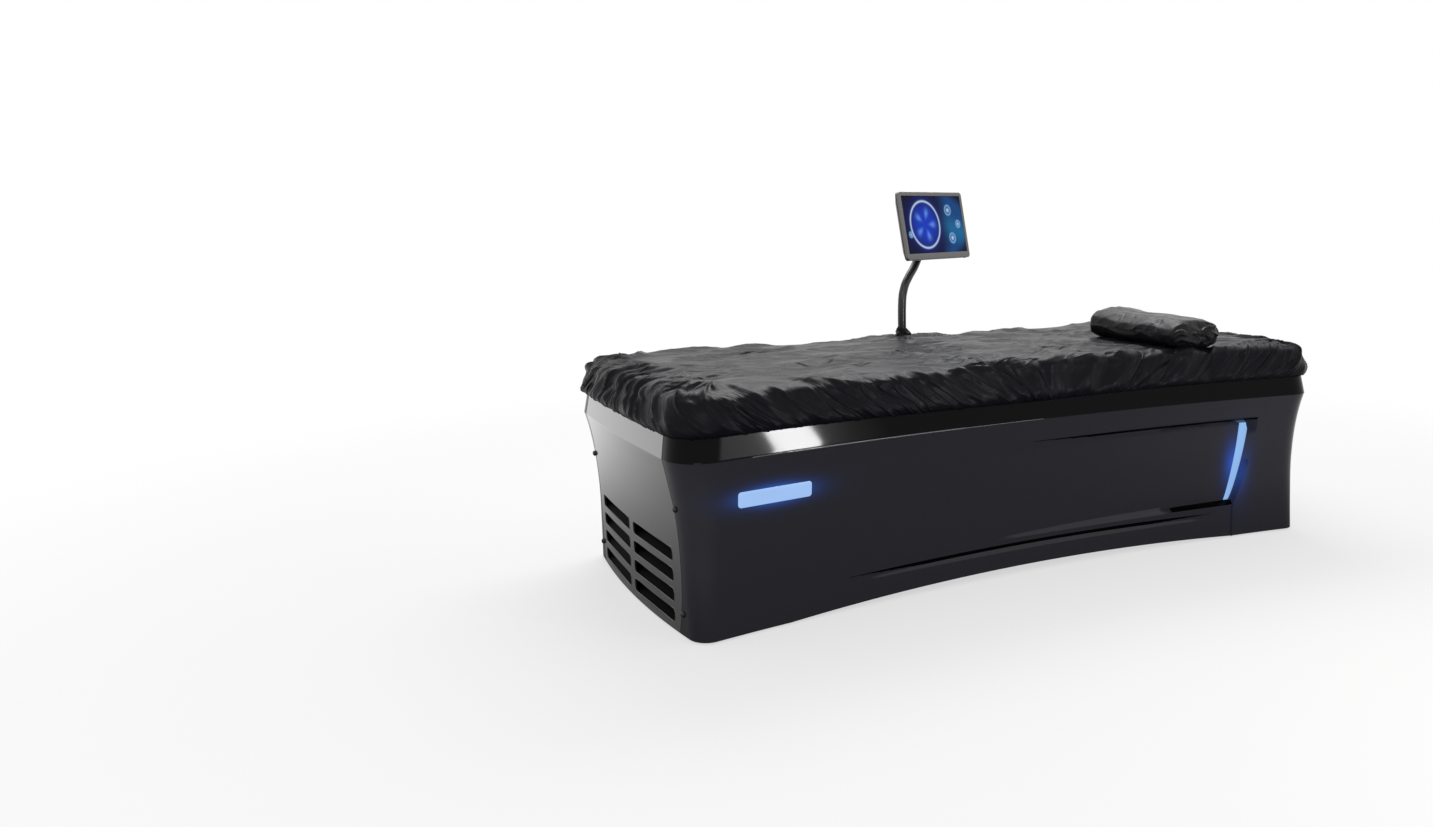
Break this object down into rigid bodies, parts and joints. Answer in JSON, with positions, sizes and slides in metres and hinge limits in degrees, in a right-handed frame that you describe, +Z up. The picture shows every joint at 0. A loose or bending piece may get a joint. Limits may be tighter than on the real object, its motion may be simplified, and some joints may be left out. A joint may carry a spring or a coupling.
{
  "type": "hydromassage bed",
  "caption": "Water massage bed with a gloss shell on a steel frame, jets travelling under a membrane, a fitted cover, a neck pillow and a touch screen on a swivelling post.",
  "frame": {"origin": "middle of the bed on the floor", "axes": "+X along the bed towards the head, +Y across it towards the side with the monitor's post, +Z up"},
  "size_m": [2.2896, 0.9885, 1.1598],
  "materials": {
    "gloss_shell": "high-gloss black moulded shell",
    "end_panel": "gloss black moulded panel",
    "black_rubber": "black moulded rubber",
    "lit_lens": "translucent acrylic lit pale blue",
    "powder_coat": "grey powder-coated steel tube",
    "zinc_steel": "zinc-plated steel",
    "stainless": "stainless steel",
    "tank_plastic": "off-white moulded polyethylene",
    "membrane_rubber": "dark rubber diaphragm",
    "foam": "foam edge padding",
    "cover_fabric": "black satin nylon cover",
    "carriage_plastic": "grey engineering plastic",
    "pump_paint": "blue enamelled casting",
    "motor_alloy": "cast aluminium",
    "fan_plastic": "black moulded plastic",
    "post_coat": "satin black painted tube",
    "bezel_silver": "dark silver moulded bezel",
    "monitor_plastic": "black moulded housing",
    "screen_glass": "lit touch screen under glass"
  },
  "bodies": {
    "bed": {"bed_cover": "cover_fabric", "carriage_rail_far": "stainless", "carriage_rail_near": "stainless", "control_box": "powder_coat", "control_box_lid": "zinc_steel", "delivery_hose": "black_rubber", "drive_belt": "black_rubber", "edge_bolster": "foam", "end_frame_foot": "powder_coat", "end_frame_head": "powder_coat", "equipment_tray": "zinc_steel", "fan_shroud": "fan_plastic", "foot_end_panel": "end_panel", "head_end_panel": "end_panel", "light_bar_far": "lit_lens", "light_bar_near": "lit_lens", "light_plate": "lit_lens", "membrane": "membrane_rubber", "membrane_clamp": "stainless", "panel_screw_foot_far_lower": "black_rubber", "panel_screw_foot_far_upper": "black_rubber", "panel_screw_foot_near_lower": "black_rubber", "panel_screw_foot_near_upper": "black_rubber", "panel_screw_head_far_lower": "black_rubber", "panel_screw_head_far_upper": "black_rubber", "panel_screw_head_near_lower": "black_rubber", "panel_screw_head_near_upper": "black_rubber", "post_cuff": "cover_fabric", "post_socket": "powder_coat", "power_inlet": "monitor_plastic", "pump_motor": "pump_paint", "radiator": "motor_alloy", "side_frame_far": "powder_coat", "side_frame_near": "powder_coat", "side_shell_far": "gloss_shell", "side_shell_near": "gloss_shell", "suction_hose": "black_rubber", "travel_motor": "motor_alloy", "water_pump": "pump_paint", "water_tank": "tank_plastic"},
    "post": {"monitor_post": "post_coat"},
    "knuckle": {"swivel_knuckle": "post_coat", "tilt_pin": "zinc_steel"},
    "monitor": {"tilt_plate": "post_coat", "monitor_back": "monitor_plastic", "monitor_bezel": "bezel_silver", "screen_glass": "screen_glass"},
    "power_key": {"monitor_button": "monitor_plastic"},
    "carriage": {"jet_carriage": "carriage_plastic"},
    "jet_near": {"jet_rotor_near": "stainless"},
    "jet_far": {"jet_rotor_far": "stainless"},
    "driven_pulley": {"drive_pulley": "motor_alloy"},
    "free_pulley": {"idler_pulley": "motor_alloy"},
    "fan_near": {"fan_rotor_near": "fan_plastic"},
    "fan_far": {"fan_rotor_far": "fan_plastic"},
    "pillow": {"neck_pillow": "cover_fabric"},
    "leveler_foot_near": {"leveling_foot_foot_near": "zinc_steel"},
    "leveler_foot_far": {"leveling_foot_foot_far": "zinc_steel"},
    "leveler_head_near": {"leveling_foot_head_near": "zinc_steel"},
    "leveler_head_far": {"leveling_foot_head_far": "zinc_steel"}
  },
  "joints": [
    {"name": "post_swivel", "type": "hinge", "parent": "bed", "child": "post", "pos_m": [-0.02, 0.3683, 0.43], "axis": [0, 0, 1], "range_deg": [-80, 80]},
    {"name": "monitor_pan", "type": "hinge", "parent": "post", "child": "knuckle", "pos_m": [0.0857, 0.42348, 0.98214], "axis": [0, 0, 1], "range_deg": [-45, 45]},
    {"name": "monitor_tilt", "type": "hinge", "parent": "knuckle", "child": "monitor", "pos_m": [0.0857, 0.42348, 1.03064], "axis": [-0.9239, -0.3827, 0], "range_deg": [-15, 30]},
    {"name": "power_key_press", "type": "slide", "parent": "monitor", "child": "power_key", "axis": [-0.073, 0.1763, 0.9816], "range_m": [0, 0.0015], "stiffness_N_per_m": 400, "springref_m": -0.001},
    {"name": "jet_travel", "type": "slide", "parent": "bed", "child": "carriage", "axis": [1, 0, 0], "range_m": [-0.65, 0.65]},
    {"name": "jet_near_spin", "type": "hinge", "parent": "carriage", "child": "jet_near", "pos_m": [0, -0.1276, 0.51], "axis": [0, 0, 1], "continuous": true},
    {"name": "jet_far_spin", "type": "hinge", "parent": "carriage", "child": "jet_far", "pos_m": [0, 0.1276, 0.51], "axis": [0, 0, 1], "continuous": true},
    {"name": "driven_pulley_spin", "type": "hinge", "parent": "bed", "child": "driven_pulley", "pos_m": [-0.85, 0, 0.439], "axis": [0, 0, 1], "continuous": true},
    {"name": "free_pulley_spin", "type": "hinge", "parent": "bed", "child": "free_pulley", "pos_m": [0.85, 0, 0.439], "axis": [0, 0, 1], "continuous": true},
    {"name": "fan_near_spin", "type": "hinge", "parent": "bed", "child": "fan_near", "pos_m": [-1.0187, -0.1502, 0.193], "axis": [1, 0, 0], "continuous": true},
    {"name": "fan_far_spin", "type": "hinge", "parent": "bed", "child": "fan_far", "pos_m": [-1.0187, 0.1502, 0.193], "axis": [1, 0, 0], "continuous": true},
    {"name": "pillow_lift", "type": "slide", "parent": "bed", "child": "pillow", "axis": [0, 0, 1], "range_m": [0, 0.12]},
    {"name": "leveler_foot_near_turn", "type": "hinge", "parent": "bed", "child": "leveler_foot_near", "pos_m": [-0.947, -0.33, 0.03], "axis": [0, 0, 1], "continuous": true},
    {"name": "leveler_foot_far_turn", "type": "hinge", "parent": "bed", "child": "leveler_foot_far", "pos_m": [-0.947, 0.33, 0.03], "axis": [0, 0, 1], "continuous": true},
    {"name": "leveler_head_near_turn", "type": "hinge", "parent": "bed", "child": "leveler_head_near", "pos_m": [0.947, -0.33, 0.03], "axis": [0, 0, 1], "continuous": true},
    {"name": "leveler_head_far_turn", "type": "hinge", "parent": "bed", "child": "leveler_head_far", "pos_m": [0.947, 0.33, 0.03], "axis": [0, 0, 1], "continuous": true}
  ],
  "couplings": [
    {"joint": "driven_pulley_spin", "follows": "jet_travel", "rad_per_m": -37.594},
    {"joint": "free_pulley_spin", "follows": "jet_travel", "rad_per_m": -37.594}
  ]
}
